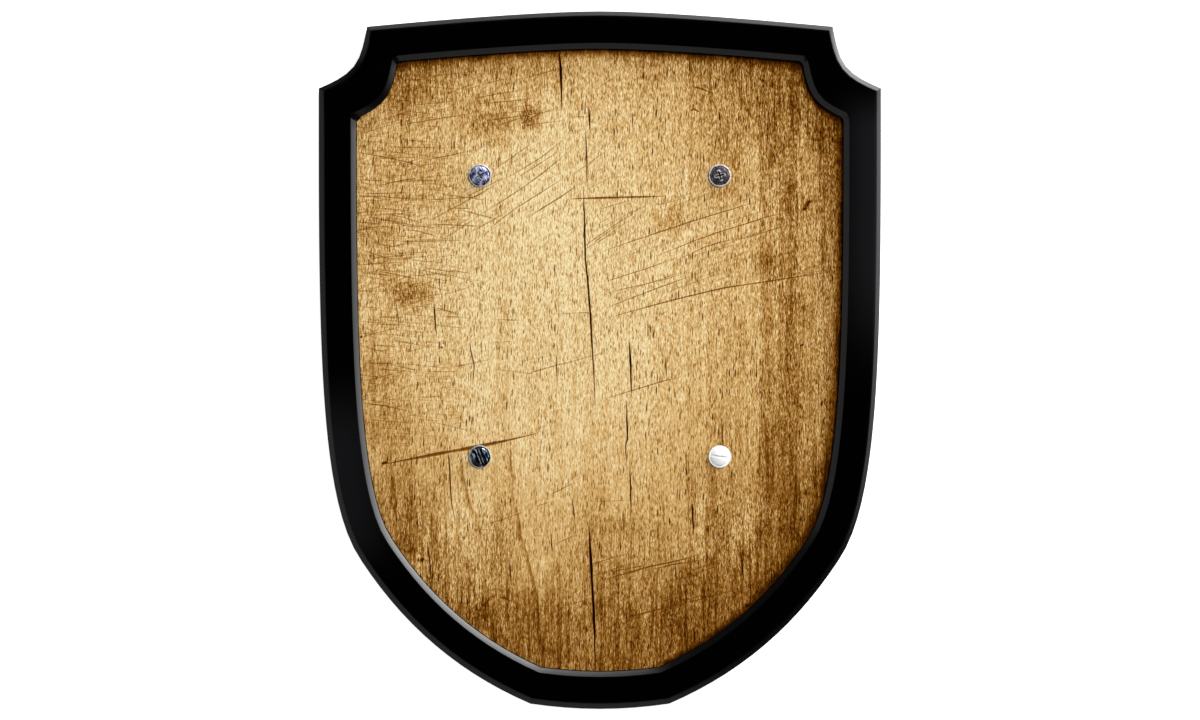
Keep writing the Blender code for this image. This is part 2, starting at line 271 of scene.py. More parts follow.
# Tone of the wood across the field, pixel and share of the lightest tone
TONES_ACROSS = (
    (350, 0.88), (370, 0.94), (410, 0.935), (450, 0.975), (490, 0.983), (540, 0.962), (580, 0.962),
    (610, 0.952), (640, 0.926), (690, 0.88), (730, 0.85), (770, 0.85), (790, 0.85), (815, 0.84), (850, 0.80))
TONES_ALONG = (
    (48, 0.73), (70, 0.79), (110, 0.88), (150, 0.94), (200, 0.985), (270, 1.0), (350, 1.0),
    (390, 0.98), (430, 0.94), (470, 0.885), (510, 0.82), (550, 0.765), (590, 0.715), (630, 0.65),
    (675, 0.61))

# Edges of the strips that the beech was glued from: pixel, then the tone right of it over that left of it
STRIP_EDGES = (
    (411, 1.04), (466, 1.03), (513.5, 1.08), (585, 0.985), (687, 0.93), (706, 0.965), (759, 0.90),
    (778, 0.93), (797, 1.12), (819, 0.93))
LIGHTEST_TONE = 0.826

# Screen colours of the wood, each at its tone, and of the old stain in the grooves
WOOD_COLOURS = (
    (0.0, (20, 6, 0)), (0.16, (67, 32, 3)), (0.345, (132, 80, 14)), (0.53, (176, 128, 62)),
    (0.785, (231, 189, 122)), (1.1, (255, 238, 188)))
GROOVE_STAIN = (122, 70, 14)

# How far the painted shadow that the border casts reaches into the field from the top and the right of the
# border, and how dark it is
TOP_SHADE = (5.5 * MM, 0.70)
RIGHT_SHADE = (6.5 * MM, 0.66)

# Stretches of painted sheen on the lacquer: where each sets in across, sets in along and ends along, and its
# strength
PAINTED_SHEENS = {
    "upper right": ((118 * MM, 150 * MM), (-20 * MM, 60 * MM), (150 * MM, 120 * MM), 1.0),
    "lower left": ((-100 * MM, -140 * MM), (-120 * MM, -90 * MM), (0.0, -50 * MM), 0.75),
}

# The four screws. recess is its length, width and depth in millimetres, and turn is in degrees. tones are
# the metal's screen colours, each at its level of the mottling, and the palest tones of the zinc and blued
# heads are painted glints; mottle is the size of its lumps in millimetres. ring is the rim's colour, which
# on the zinc, gunmetal and blued heads is partly a painted highlight, and ring_from the radius where it
# starts, in millimetres. seam, pit, lip and glow are strengths: seam of the painted shade in the groove
# inside the rim, pit of the painted shade in the recess, lip of the rubbed recess edges with their painted
# highlight, and glow of painted light that the head gives off.
SCREWS = {
    "screw_top_left": {
        "slot": "bluish_zinc", "cross": True, "recess": (5.6, 1.2, 1.9), "turn": 30,
        "tones": (
            (0.36, (28, 32, 76)), (0.45, (98, 104, 158)), (0.51, (134, 140, 190)), (0.58, (240, 243, 255))),
        "ring": (226, 234, 250), "ring_from": 5.35, "seam": 0.90, "pit": 0.60, "lip": 0.95,
        "mottle": (1.7, 2.6, 1.7), "metallic": 0.40, "rough": 0.24, "glow": 0.0, "seed": 3.1},
    "screw_top_right": {
        "slot": "gunmetal", "cross": True, "recess": (5.6, 1.2, 1.9), "turn": 15,
        "tones": ((0.36, (30, 25, 30)), (0.46, (68, 58, 62)), (0.54, (80, 70, 74)), (0.66, (150, 144, 150))),
        "ring": (250, 250, 253), "ring_from": 5.25, "seam": 0.45, "pit": 0.80, "lip": 1.0,
        "mottle": (1.7, 2.6, 1.7), "metallic": 0.30, "rough": 0.42, "glow": 0.0, "seed": 8.4},
    "screw_bottom_left": {
        "slot": "blued_steel", "cross": False, "recess": (13, 1.4, 1.1), "turn": -68,
        "tones": ((0.42, (2, 5, 11)), (0.50, (7, 15, 26)), (0.56, (22, 44, 64)), (0.63, (206, 224, 238))),
        "ring": (222, 232, 234), "ring_from": 5.45, "seam": 0.60, "pit": 0.80, "lip": 1.0,
        "mottle": (6.0, 1.0, 2.0), "metallic": 0.45, "rough": 0.13, "glow": 0.0, "seed": 5.7},
    # The nickel head's near-white tones stand for painted highlight over the whole head, and its glow is
    # painted light.
    "screw_bottom_right": {
        "slot": "bright_nickel", "cross": False, "recess": (13, 1.4, 1.1), "turn": -8,
        "tones": (
            (0.34, (240, 244, 248)), (0.44, (254, 254, 255)), (0.54, (254, 254, 255)),
            (0.66, (255, 255, 255))),
        "ring": (196, 208, 216), "ring_from": 5.70, "seam": 0.0, "pit": 0.14, "lip": 0.0,
        "mottle": (1.7, 2.6, 1.7), "metallic": 0.05, "rough": 0.22, "glow": 0.16, "seed": 1.9},
}

# Half outline of a screw's head from its rim inward: radius and height over its seat, in millimetres
HEAD_STEPS = (
    (6.0, 0.30), (5.9, 0.46), (5.65, 0.56), (5.35, 0.52), (5.15, 0.42), (5.0, 0.58), (4.85, 0.86),
    (4.5, 1.18), (4.0, 1.48), (3.3, 1.76), (2.5, 1.97), (1.6, 2.11), (0.8, 2.18), (0.25, 2.2))
SHANK_RADIUS = 3.0
POINT_RADIUS = 0.3
POINT_LENGTH = 3.0
SCREW_EASING = 0.1

# The sky's bright lobe and its pale far side, and the key light
LOBE_STRENGTH = 15.0
LOBE_NARROWNESS = 4.0
FAR_SIDE_STRENGTH = 0.42
KEY_AZIMUTH = math.radians(45)
KEY_ELEVATION = math.radians(45)
KEY_DISTANCE = 4.0
KEY_SIZE = 1.4
KEY_POWER = 140
FLOOR_RADIUS = 14


def at_pixel(column, row):
    """The place on the shield that one pixel of the photograph shows, in metres from its middle."""
    return Vector(((column - MIDDLE_PIXEL[0]) * PIXEL, (MIDDLE_PIXEL[1] - row) * PIXEL))


def from_screen(red, green, blue):
    """A screen colour, 0 to 255, as the linear colour that Blender's sockets hold."""
    linear = []
    for level in (red, green, blue):
        share = level / 255
        linear.append(share / 12.92 if share <= 0.04045 else ((share + 0.055) / 1.055) ** 2.4)
    return (*linear, 1.0)


class Finish:
    """One material's nodes, with short calls for those that the finishes share."""

    def __init__(self, name):
        self.material = bpy.data.materials.new(name)
        self.material.use_nodes = True
        self.tree = self.material.node_tree
        self.shader = self.tree.nodes["Principled BSDF"]
        self.place = self.add("ShaderNodeTexCoord").outputs["Object"]

    def add(self, kind, inputs=None, **settings):
        """A new node with its settings, and its inputs linked or set."""
        node = self.tree.nodes.new(kind)
        for name, value in settings.items():
            setattr(node, name, value)
        for name, value in (inputs or {}).items():
            self.feed(node.inputs[name], value)
        return node

    def feed(self, socket, value):
        """Link a socket to another's output, or set its value."""
        if isinstance(value, bpy.types.NodeSocket):
            self.tree.links.new(value, socket)
        else:
            socket.default_value = value

    def sum_of(self, kind, *values):
        """A chain of one kind of Math node over all the values."""
        total = values[0]
        for value in values[1:]:
            node = self.add("ShaderNodeMath", {0: total, 1: value}, operation=kind)
            total = node.outputs[0]
        return total

    def rise(self, value, low, high, to_low=0.0, to_high=1.0):
        """A smooth step: to_low where the value is at low, to_high where it is at high."""
        node = self.add(
            "ShaderNodeMapRange",
            {"Value": value, "From Min": low, "From Max": high, "To Min": to_low, "To Max": to_high},
            interpolation_type="SMOOTHSTEP")
        return node.outputs["Result"]

    def stretched(self, size, turn=0.0, centre=(0, 0, 0)):
        """Object coordinates counted in steps of the given size, on axes turned in degrees."""
        node = self.add(
            "ShaderNodeMapping",
            {
                "Vector": self.place,
                "Location": centre,
                "Rotation": (0, 0, math.radians(turn)),
                "Scale": size,
            },
            vector_type="TEXTURE")
        return node.outputs["Vector"]

    def noise(self, size, detail=2.0, roughness=0.5, distortion=0.0, turn=0.0, seed=0.0):
        """Noise whose lumps have the given size in millimetres."""
        metres = [length * MM for length in size]
        centre = (seed * metres[0], seed * metres[1], 0)
        node = self.add(
            "ShaderNodeTexNoise",
            {
                "Vector": self.stretched(metres, turn, centre),
                "Scale": 1.0,
                "Detail": detail,
                "Roughness": roughness,
                "Distortion": distortion,
            })
        return node.outputs["Fac"]

    def levels(self, value, stops, blend="CARDINAL"):
        """A curve through the stops, each a value and the level or colour that it stands for."""
        low = stops[0][0]
        high = stops[-1][0]
        share = self.add(
            "ShaderNodeMapRange", {"Value": value, "From Min": low, "From Max": high}).outputs["Result"]
        node = self.add("ShaderNodeValToRGB", {"Fac": share})
        node.color_ramp.interpolation = blend
        marks = node.color_ramp.elements
        while len(marks) < len(stops):
            marks.new(0.5)
        for mark, (where, level) in zip(marks, stops):
            mark.position = (where - low) / (high - low)
            mark.color = level if isinstance(level, tuple) else (level, level, level, 1)
        return node.outputs["Color"]

    def colours(self, value, tones):
        """The colour that a value stands for, between screen colours that each stand at a level."""
        stops = [(level, from_screen(*colour)) for level, colour in tones]
        return self.levels(value, stops, blend="LINEAR")

    def blended(self, share, first, second):
        """A colour between the first and the second."""
        node = self.add("ShaderNodeMix", {0: share, 6: first, 7: second}, data_type="RGBA")
        return node.outputs[2]

    def bump(self, height, distance, strength):
        """A bump of the height, which stands for the distance in millimetres."""
        inputs = {"Height": height, "Distance": distance * MM, "Strength": strength}
        return self.add("ShaderNodeBump", inputs).outputs["Normal"]

    def set_shader(self, **values):
        """Set or link the Principled shader's inputs, named with underscores for spaces."""
        for name, value in values.items():
            self.feed(self.shader.inputs[name.replace("_", " ")], value)
        return self.material


def strip_tones(finish, column):
    """The tone steps where one strip of beech meets the next."""
    waver = finish.noise((40, 60, 40), seed=3.1)
    wavy = finish.sum_of("ADD", column, finish.rise(waver, 0.3, 0.7, -0.7 * MM, 0.7 * MM))
    tone = 1.0
    for edge, change in STRIP_EDGES:
        x = at_pixel(edge, 0).x
        step = finish.rise(wavy, x - 0.5 * MM, x + 0.5 * MM, 1.0, change)
        tone = finish.sum_of("MULTIPLY", tone, step)
    return tone


def away_from(finish, pixel, half_length, half_width, turn=0.0):
    """How far a point lies from the middle of an oval mark, in half sizes of the mark."""
    x, y = at_pixel(*pixel)
    size = (half_length * PIXEL, half_width * PIXEL, 1.0)
    node = finish.add(
        "ShaderNodeVectorMath",
        {0: finish.stretched(size, turn, (x, y, 0))},
        operation="LENGTH")
    return node.outputs["Value"]


def smudge_marks(finish):
    """Soft ragged marks of old dirt, 0 to about 1."""
    ragged = finish.noise((6, 12, 9), detail=4, roughness=0.7, seed=8.3)
    fray = finish.rise(ragged, 0.25, 0.75, 0.60, -0.60)
    total = 0.0
    for pixel, (half_width, half_height), strength in SMUDGES.values():
        away = finish.sum_of("ADD", away_from(finish, pixel, half_width, half_height), fray)
        total = finish.sum_of("MAXIMUM", total, finish.rise(away, 1.7, 0.2, 0.0, strength))
    return total


def crossing_stains(finish, column, row):
    """Faint brown lines across the grain on the left, where old scratches have worn in, 0 to about 0.3."""
    level = finish.noise((17, 0.8, 5), detail=3, roughness=0.6, turn=-5, seed=5.8)
    rising = finish.noise((15, 0.8, 5), detail=3, roughness=0.6, turn=17, seed=2.6)
    lines = finish.sum_of(
        "MAXIMUM",
        finish.rise(level, 0.54, 0.70, 0.0, 0.34),
        finish.rise(rising, 0.55, 0.71, 0.0, 0.33))
    return finish.sum_of(
        "MULTIPLY",
        lines,
        finish.rise(column, at_pixel(520, 0).x, at_pixel(390, 0).x),
        finish.rise(row, at_pixel(0, 480).y, at_pixel(0, 380).y, 0.25, 1.0))


def dark_spots(finish):
    """Small dark spots and the knot, 0 to about 0.7."""
    ragged = finish.noise((1.1, 1.6, 1.1), detail=3, roughness=0.7, seed=4.4)
    fray = finish.rise(ragged, 0.3, 0.7, 0.3, -0.3)
    total = 0.0
    for pixel, half_length, half_width, turn in SPOTS.values():
        away = finish.sum_of("ADD", away_from(finish, pixel, half_length, half_width, turn), fray)
        total = finish.sum_of("MAXIMUM", total, finish.rise(away, 1.3, 0.5, 0.0, 0.72))
    return total


def pale_rubs(finish):
    """Pale rubbed marks, 0 to about 0.3."""
    total = 0.0
    for pixel, half_length, half_width, turn, strength in RUBS.values():
        away = away_from(finish, pixel, half_length, half_width, turn)
        total = finish.sum_of("MAXIMUM", total, finish.rise(away, 1.0, 0.4, 0.0, strength))
    return total


def course_of(finish, along, stops):
    """The place across that a drawn line has at each place along, through the stops."""
    least = min(place for _, place in stops)
    most = max(place for _, place in stops)
    shares = [(where, (place - least) / (most - least)) for where, place in stops]
    share = finish.levels(along, shares, blend="LINEAR")
    return finish.sum_of("ADD", finish.sum_of("MULTIPLY", share, most - least), least)


def growth_marks(finish, column, row):
    """Brown growth lines that wander down the field, 0 to about 0.4."""
    waver = finish.noise((9, 16, 9), detail=3, seed=2.9)
    wavy = finish.sum_of("ADD", column, finish.rise(waver, 0.3, 0.7, -0.8 * MM, 0.8 * MM))
    faint = finish.rise(finish.noise((5, 22, 9), detail=2, seed=6.1), 0.35, 0.6, 0.35, 1.0)
    total = 0.0
    for width, strength, *pixels in GROWTH_LINES.values():
        stops = [(at_pixel(*pixel).y, at_pixel(*pixel).x) for pixel in reversed(pixels)]
        course = course_of(finish, row, stops)
        aside = finish.sum_of("SUBTRACT", wavy, course)
        left_side = finish.rise(aside, -2.6 * width * PIXEL, 0.0, 0.0, strength)
        right_side = finish.rise(aside, 0.0, 0.5 * width * PIXEL, 1.0, 0.0)
        ends = finish.sum_of(
            "MULTIPLY",
            finish.rise(row, stops[0][0] - 8 * MM, stops[0][0] + 4 * MM),
            finish.rise(row, stops[-1][0] + 4 * MM, stops[-1][0] - 12 * MM))
        line = finish.sum_of("MULTIPLY", left_side, right_side, ends, faint)
        total = finish.sum_of("MAXIMUM", total, line)
    return total


def panel_edge(axis, across, start, end, count):
    """Places on the field's top edge (axis 0) or right edge (axis 1) from start to end, evenly spaced."""
    low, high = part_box("wood_panel")
    middle = (low + high) / 2
    holes = [sum(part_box(node), Vector()) / 2 for node in SCREWS]
    rim = []
    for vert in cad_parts["wood_panel"].data.vertices:
        by_hole = any((vert.co - hole).xy.length < 5 * MM for hole in holes)
        if vert.co[across] > middle[across] and not by_hole:
            rim.append(vert.co)
    rim.sort(key=lambda place: place[axis])
    stops = []
    for index in range(count + 1):
        where = start + (end - start) * index / count
        before = [place for place in rim if place[axis] <= where][-1]
        after = [place for place in rim if place[axis] >= where][0]
        span = max(after[axis] - before[axis], 0.001 * MM)
        share = (where - before[axis]) / span
        stops.append((where, before[across] + (after[across] - before[across]) * share))
    return stops


def border_shade(finish, column, row):
    """A painted soft shadow that the border casts onto the field under its top and right edges, 0 to 1."""
    top_edge = panel_edge(0, 1, at_pixel(397, 0).x, at_pixel(803, 0).x, 20)
    right_edge = panel_edge(1, 0, at_pixel(0, 663).y, at_pixel(0, 64).y, 30)
    below = finish.sum_of("SUBTRACT", course_of(finish, column, top_edge), row)
    inward = finish.sum_of("SUBTRACT", course_of(finish, row, right_edge), column)
    uneven = finish.rise(finish.noise((7, 7, 7), detail=3, seed=3.3), 0.3, 0.7, 0.75, 1.1)
    top = finish.rise(below, TOP_SHADE[0], 0.0, 0.0, TOP_SHADE[1])
    right = finish.rise(inward, RIGHT_SHADE[0], 0.0, 0.0, RIGHT_SHADE[1])
    return finish.sum_of("MULTIPLY", finish.sum_of("MAXIMUM", top, right), uneven)


def beech_flecks(finish, size, reach, share, slant, seed):
    """Short dark dashes along the grain, as beech shows, 0 to 1."""
    metres = (size[0] * MM, size[1] * MM, 0.05)
    cells = finish.stretched(metres, slant, (seed * MM, seed * MM, 0))
    node = finish.add(
        "ShaderNodeTexVoronoi",
        {"Vector": cells, "Scale": 1.0, "Randomness": 0.95},
        voronoi_dimensions="2D")
    parts = finish.add("ShaderNodeSeparateColor", {"Color": node.outputs["Color"]})
    present = finish.sum_of("GREATER_THAN", parts.outputs[0], 1 - share)
    length = finish.rise(parts.outputs[2], 0.0, 1.0, reach * 0.55, reach)
    dash = finish.rise(node.outputs["Distance"], length, finish.sum_of("MULTIPLY", length, 0.70))
    strength = finish.rise(parts.outputs[1], 0.0, 1.0, 0.5, 1.0)
    return finish.sum_of("MULTIPLY", dash, present, strength)


def beech_grain(finish, wear, row):
    """Bands, streaks, fibres, threads and pores along the grain, about 1 in the middle.

    Streaks and threads are stronger where the wood is worn, and the finest fibres high in the field.
    """
    bands = finish.noise((3.4, 140, 50), detail=3, seed=5.2)
    streaks = finish.noise((1.5, 36, 30), detail=4, roughness=0.62, seed=7.3)
    fibres = finish.noise((0.7, 9, 9), detail=3, roughness=0.62, seed=2.4)
    threads = finish.noise((0.62, 2.4, 2), detail=3, roughness=0.72, distortion=0.2, seed=9.9)
    pores = finish.noise((0.6, 5.5, 5), detail=2, roughness=0.6, seed=6.2)
    fine = finish.noise((0.42, 2.0, 1.0), detail=2, roughness=0.65, distortion=0.25, seed=1.1)

    def by_wear(unworn, worn):
        return finish.rise(wear, 0.0, 0.8, unworn, worn)

    streak = finish.sum_of("MULTIPLY", finish.rise(streaks, 0.52, 0.36), by_wear(0.04, 0.42))
    thread = finish.sum_of("MULTIPLY", finish.rise(threads, 0.56, 0.36), by_wear(0.13, 0.46))
    crisp = finish.rise(row, at_pixel(0, 540).y, at_pixel(0, 240).y, 0.0, 0.14)
    darkest = finish.sum_of("SUBTRACT", by_wear(0.81, 0.62), crisp)
    palest = finish.sum_of("ADD", by_wear(1.14, 1.31), crisp)
    return finish.sum_of(
        "MULTIPLY",
        finish.rise(bands, 0.3, 0.7, 0.94, 1.05),
        finish.rise(fibres, 0.30, 0.70, 0.85, 1.14),
        finish.rise(fine, 0.30, 0.70, darkest, palest),
        finish.sum_of("SUBTRACT", 1.08, thread),
        finish.sum_of("SUBTRACT", 1.03, streak),
        finish.rise(pores, 0.31, 0.37, 0.52, 1.02))


def ground_tone(finish, column, row):
    """The wood's tone before grain and marks: 1 at its lightest, darker towards the top, right and foot."""
    across = finish.levels(column, [(at_pixel(pixel, 0).x, tone) for pixel, tone in TONES_ACROSS])
    along = finish.levels(row, [(at_pixel(0, pixel).y, tone) for pixel, tone in reversed(TONES_ALONG)])
    broad = finish.noise((30, 60, 50), detail=4, roughness=0.6, seed=1.7)
    return finish.sum_of(
        "MULTIPLY", across, along, strip_tones(finish, column), finish.rise(broad, 0.3, 0.7, 0.94, 1.05))


def settled_dirt(finish, wear, grit):
    """Old dirt in clouds and smudges, broken up by the grit, 0 to about 0.7."""
    clouds = finish.noise((8, 22, 20), detail=5, roughness=0.66, seed=6.6)
    cloudy = finish.sum_of("ADD", clouds, finish.sum_of("MULTIPLY", wear, 0.34), -0.16)
    dirt = finish.sum_of("MAXIMUM", finish.rise(cloudy, 0.46, 0.80, 0.0, 0.54), smudge_marks(finish))
    return finish.sum_of("MULTIPLY", dirt, finish.rise(grit, 0.41, 0.60, 0.20, 0.82))


def fleck_marks(finish, column):
    """Small flecks everywhere, and large ones mostly along the edges of the strips, 0 to about 0.8."""
    columns = finish.rise(finish.noise((7, 160, 50), detail=2, seed=3.7), 0.35, 0.65, 0.25, 1.0)
    for edge, _ in STRIP_EDGES:
        aside = finish.sum_of("ABSOLUTE", finish.sum_of("SUBTRACT", column, at_pixel(edge, 0).x), 0)
        columns = finish.sum_of("MAXIMUM", columns, finish.rise(aside, 2.6 * MM, 1.0 * MM))
    small = beech_flecks(finish, (1.2, 6.5), reach=0.24, share=0.50, slant=-2, seed=1.3)
    large = beech_flecks(finish, (1.6, 10.5), reach=0.25, share=0.46, slant=-2.5, seed=7.9)
    return finish.sum_of(
        "MAXIMUM",
        finish.sum_of("MULTIPLY", small, 0.56),
        finish.sum_of("MULTIPLY", large, columns, 0.84))


def groove_marks(finish, height):
    """How dark the deep and the shallow grooves are, darker with depth, which is part old dirt and part
    painted shade, and how stained the shallow ones are.
    """
    depth = finish.sum_of("SUBTRACT", FIELD_Z, height)
    gaps = finish.noise((1.3, 1.3, 1.3), detail=4, roughness=0.75, seed=2.2)
    broken = finish.rise(gaps, 0.34, 0.60, 0.62, 1.0)
    deep = finish.rise(depth, 0.08 * MM, 0.50 * MM, 0.0, 0.88)
    shallow = finish.sum_of("MULTIPLY", finish.rise(depth, 0.0, 0.085 * MM, 0.0, 0.50), broken)
    stain = finish.sum_of(
        "MULTIPLY",
        finish.rise(depth, 0.0, 0.06 * MM, 0.0, 0.62),
        finish.rise(depth, 0.60 * MM, 0.25 * MM),
        broken)
    return deep, shallow, stain


def worn_beech():
    """Old beech: honey in the middle, brown at the edges, with fibres, flecks, dirt, dark grooves partly
    darkened as painted shade, and painted shadow under the border's top and right edges.
    """
    finish = Finish("worn_beech")
    axes = finish.add("ShaderNodeSeparateXYZ", {"Vector": finish.place})
    column, row, height = axes.outputs
    ground = ground_tone(finish, column, row)
    wear = finish.rise(ground, 0.98, 0.55)
    grain = beech_grain(finish, wear, row)
    grit = finish.noise((0.72, 1.9, 1.0), detail=3, roughness=0.7, distortion=0.5, seed=4.5)
    flecks = fleck_marks(finish, column)
    deep, shallow, stain = groove_marks(finish, height)

    pale = finish.sum_of("ADD", 1.0, pale_rubs(finish))
    tone = finish.sum_of("MULTIPLY", ground, grain, pale, LIGHTEST_TONE)
    marks = (
        settled_dirt(finish, wear, grit), growth_marks(finish, column, row),
        border_shade(finish, column, row), crossing_stains(finish, column, row),
        flecks, dark_spots(finish), shallow, deep)
    for mark in marks:
        tone = finish.sum_of("MULTIPLY", tone, finish.sum_of("SUBTRACT", 1.0, mark))
    colour = finish.blended(stain, finish.colours(tone, WOOD_COLOURS), from_screen(*GROOVE_STAIN))

    relief = finish.sum_of(
        "SUBTRACT",
        finish.sum_of("MULTIPLY", grain, 0.8),
        finish.sum_of("MULTIPLY", flecks, 0.5))
    return finish.set_shader(
        Base_Color=colour,
        Roughness=finish.rise(grit, 0.3, 0.7, 0.55, 0.72),
        Normal=finish.bump(relief, 0.07, 0.6),
        Specular_IOR_Level=0.02)


def painted_lacquer_sheen(finish):
    """The two stretches of painted sheen on the lacquer, 0 to 1."""
    axes = finish.add("ShaderNodeSeparateXYZ", {"Vector": finish.place})
    column, row, _ = axes.outputs
    painted_sheen = 0.0
    for across, start, end, strength in PAINTED_SHEENS.values():
        stretch = finish.sum_of(
            "MULTIPLY",
            finish.rise(column, *across),
            finish.rise(row, *start),
            finish.rise(row, *end, 0.0, strength))
        painted_sheen = finish.sum_of("MAXIMUM", painted_sheen, stretch)
    return painted_sheen


def black_lacquer():
    """Black lacquer, glossy on the flats, with painted sheen on two stretches, orange peel and rubbed
    bevels.
    """
    finish = Finish("black_lacquer")
    turned = finish.add("ShaderNodeNewGeometry").outputs["Normal"]
    upward = finish.add("ShaderNodeSeparateXYZ", {"Vector": turned}).outputs["Z"]
    rubs = finish.noise((0.8, 0.8, 0.8), detail=4, roughness=0.7, seed=5.0)
    rubbed_bevels = finish.sum_of(
        "MULTIPLY",
        finish.rise(upward, 0.25, 0.55),
        finish.rise(upward, 0.95, 0.8),
        finish.rise(rubs, 0.35, 0.75))
    # The grey is painted sheen on the two stretches, plus slightly lighter rubbed bevels.
    grey = finish.sum_of(
        "ADD",
        0.0003,
        finish.sum_of("MULTIPLY", painted_lacquer_sheen(finish), 0.0105),
        finish.sum_of("MULTIPLY", rubbed_bevels, 0.004))
    bluish = finish.sum_of("MULTIPLY", grey, 1.12)
    colour = finish.add("ShaderNodeCombineColor", {0: grey, 1: grey, 2: bluish}).outputs["Color"]

    peel = finish.noise((1.6, 1.6, 1.6), detail=2, seed=7.0)
    smears = finish.noise((12, 30, 12), detail=4, roughness=0.6, seed=1.0)
    return finish.set_shader(
        Base_Color=colour,
        Roughness=finish.rise(smears, 0.25, 0.75, 0.13, 0.19),
        Normal=finish.bump(peel, 0.02, 0.3))


def recess_away(finish, centred, look):
    """How far a point lies outside the outline of the screw's recess, less than zero inside it."""
    axes = finish.add("ShaderNodeSeparateXYZ", {"Vector": centred})
    x = finish.sum_of("ABSOLUTE", axes.outputs["X"], 0)
    y = finish.sum_of("ABSOLUTE", axes.outputs["Y"], 0)
    length, width, _ = look["recess"]
    beyond_x = finish.sum_of("SUBTRACT", x, length / 2 * MM)
    beside_x = finish.sum_of("SUBTRACT", y, width / 2 * MM)
    along_x = finish.sum_of("MAXIMUM", beyond_x, beside_x)
    if not look["cross"]:
        return along_x
    beyond_y = finish.sum_of("SUBTRACT", y, length / 2 * MM)
    beside_y = finish.sum_of("SUBTRACT", x, width / 2 * MM)
    return finish.sum_of("MINIMUM", along_x, finish.sum_of("MAXIMUM", beyond_y, beside_y))


def screw_edges(finish, look, radius, wavy_radius, patches, away):
    """How far the bright rim and the rubbed lips of the recess show, 0 to 1; both are partly painted
    highlight.
    """
    worn = finish.noise((1.3, 1.3, 1.3), detail=2, seed=look["seed"] + 2)
    ring = finish.sum_of(
        "MULTIPLY",
        finish.rise(wavy_radius, look["ring_from"] * MM, (look["ring_from"] + 0.12) * MM),
        finish.rise(patches, 0.36, 0.52, 0.55, 1.0))
    lip = finish.sum_of(
        "MULTIPLY",
        finish.rise(finish.sum_of("ABSOLUTE", away, 0), 0.40 * MM, 0.10 * MM, 0.0, look["lip"]),
        finish.rise(worn, 0.40, 0.56, 0.10, 1.0),
        finish.rise(radius, 4.6 * MM, 4.2 * MM))
    return finish.sum_of("MAXIMUM", ring, lip)


def screw_shade(finish, look, radius, wavy_radius, patches, away, fine):
    """How light the metal is: painted shade darkens the seam inside the rim and the recess, about 1
    elsewhere.
    """
    seam_radius = (look["ring_from"] - 0.25) * MM
    seam = finish.sum_of("ABSOLUTE", finish.sum_of("SUBTRACT", wavy_radius, seam_radius), 0)
    dark_seam = finish.sum_of(
        "MULTIPLY",
        finish.rise(seam, 0.36 * MM, 0.1 * MM, 0.0, look["seam"]),
        finish.rise(patches, 0.60, 0.44, 0.2, 1.0))
    pit = finish.sum_of(
        "MULTIPLY",
        finish.rise(away, -0.1 * MM, -0.4 * MM, 0.0, look["pit"]),
        finish.rise(radius, 4.6 * MM, 4.2 * MM))
    return finish.sum_of(
        "MULTIPLY",
        finish.rise(fine, 0.3, 0.7, 0.78, 1.18),
        finish.sum_of("SUBTRACT", 1.0, dark_seam),
        finish.sum_of("SUBTRACT", 1.0, pit))


def screw_metal(look, middle):
    """Plated steel: mottled, with painted glints among the mottling, finely turned, with an uneven bright
    rim and rubbed recess edges that are partly painted highlight, and painted shade in the seam and the
    recess.
    """
    finish = Finish(look["slot"])
    seed = look["seed"]
    centred = finish.stretched((1, 1, 1), look["turn"], (middle.x, middle.y, 0))
    flat = finish.add("ShaderNodeVectorMath", {0: centred, 1: (1, 1, 0)}, operation="MULTIPLY").outputs[0]
    radius = finish.add("ShaderNodeVectorMath", {0: flat}, operation="LENGTH").outputs["Value"]
    clouds = finish.noise(look["mottle"], detail=4, roughness=0.62, turn=look["turn"], seed=seed)
    fine = finish.noise((0.5, 0.25, 0.5), detail=3, roughness=0.7, seed=seed)
    patches = finish.noise((3.2, 3.2, 3.2), detail=3, roughness=0.6, seed=seed + 4)
    wavy_radius = finish.sum_of("ADD", radius, finish.rise(clouds, 0.3, 0.7, -0.14 * MM, 0.14 * MM))
    away = recess_away(finish, centred, look)

    bright = screw_edges(finish, look, radius, wavy_radius, patches, away)
    body = finish.blended(bright, finish.colours(clouds, look["tones"]), from_screen(*look["ring"]))
    shade = screw_shade(finish, look, radius, wavy_radius, patches, away, fine)
    toned = finish.add("ShaderNodeVectorMath", {0: body, 3: shade}, operation="SCALE").outputs[0]

    turning = finish.add(
        "ShaderNodeTexNoise",
        {"W": finish.sum_of("MULTIPLY", radius, 9000.0), "Scale": 1.0},
        noise_dimensions="1D").outputs["Fac"]
    relief = finish.sum_of("ADD", fine, finish.sum_of("MULTIPLY", turning, 0.4))
    return finish.set_shader(
        Base_Color=toned,
        Metallic=look["metallic"],
        Roughness=finish.rise(clouds, 0.3, 0.7, look["rough"] - 0.06, look["rough"] + 0.08),
        Normal=finish.bump(relief, 0.02, 0.5),
        # The glow is painted light: a faint white light from the head itself, used on the nickel head.
        Emission_Color=(1, 1, 1, 1),
        Emission_Strength=look["glow"])


def deselect_all():
    """Object mode with nothing selected."""
    if bpy.context.mode != "OBJECT":
        bpy.ops.object.mode_set(mode="OBJECT")
    bpy.ops.object.select_all(action="DESELECT")


def only(piece):
    """Select one piece and make it the active one."""
    deselect_all()
    piece.select_set(True)
    bpy.context.view_layer.objects.active = piece
    return piece


def apply_modifier(piece, kind, **settings):
    """Add a modifier with its settings and apply it."""
    only(piece)
    modifier = piece.modifiers.new(kind.lower(), kind)
    for name, value in settings.items():
        setattr(modifier, name, value)
    bpy.ops.object.modifier_apply(modifier=modifier.name)


